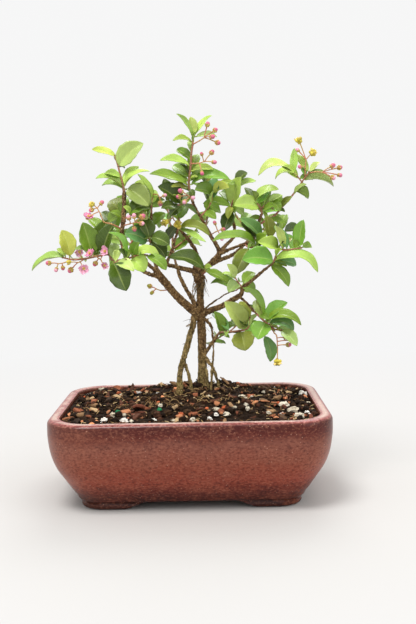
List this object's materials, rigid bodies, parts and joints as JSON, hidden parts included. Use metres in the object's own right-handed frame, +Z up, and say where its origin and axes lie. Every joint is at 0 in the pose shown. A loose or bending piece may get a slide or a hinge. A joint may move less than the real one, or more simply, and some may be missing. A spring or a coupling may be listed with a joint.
{
  "type": "barbados cherry bonsai",
  "caption": "Flowering Barbados cherry bonsai with a forked trunk and aerial roots, grown in a rounded rectangular glazed pot on low feet.",
  "frame": {"origin": "centre of the pot's footprint, on the surface it stands on", "axes": "+Z up, +X to the right of the pictured side, the pictured side faces -Y"},
  "size_m": [0.2037, 0.1382, 0.2494],
  "materials": {
    "pot_glaze": "gloss",
    "screen_plastic": "matte",
    "potting_mix": "matte",
    "bark": "matte",
    "leaf_green": "satin",
    "petals": "satin"
  },
  "bodies": {
    "root": {"pot": "pot_glaze", "drain_screen_left": "screen_plastic", "drain_screen_right": "screen_plastic", "soil": "potting_mix", "tree_wood": "bark", "flowers_crown_top": "petals", "flowers_crown_mid": "petals", "flowers_crown_low": "petals", "flowers_right_tip": "petals", "flowers_right_upper": "petals", "flowers_right_bottom": "petals", "flowers_left_tip": "petals", "flowers_left_mid": "petals", "flowers_left_end": "petals", "flowers_left_upper": "petals", "flowers_left_inner": "petals", "flowers_left_crown": "petals", "flowers_centre": "petals", "flowers_right_fork": "petals", "flowers_low_left": "petals", "leafy_left_tip": "leaf_green", "leafy_left_front": "leaf_green", "leafy_left_top": "leaf_green", "leafy_left_stem": "leaf_green", "leafy_left_behind": "leaf_green", "leafy_left_mid": "leaf_green", "leafy_left_inner": "leaf_green", "leafy_knot_front": "leaf_green", "leafy_fork_left": "leaf_green", "leafy_crown": "leaf_green", "leafy_crown_low": "leaf_green", "leafy_centre_right": "leaf_green", "leafy_right_top": "leaf_green", "leafy_right_inner": "leaf_green", "leafy_right_stem": "leaf_green", "leafy_right_tip": "leaf_green", "leafy_right_low": "leaf_green", "leafy_right_front": "leaf_green", "leafy_right_small": "leaf_green", "leafy_thin_twig": "leaf_green", "leafy_right_bottom": "leaf_green", "leafy_low": "leaf_green", "leafy_back_left": "leaf_green", "leafy_back_middle": "leaf_green", "leafy_back_right": "leaf_green", "leafy_back_crown": "leaf_green", "leafy_back_mid_left": "leaf_green", "leafy_side_left": "leaf_green", "leafy_side_right": "leaf_green", "leafy_low_back": "leaf_green"}
  },
  "joints": []
}
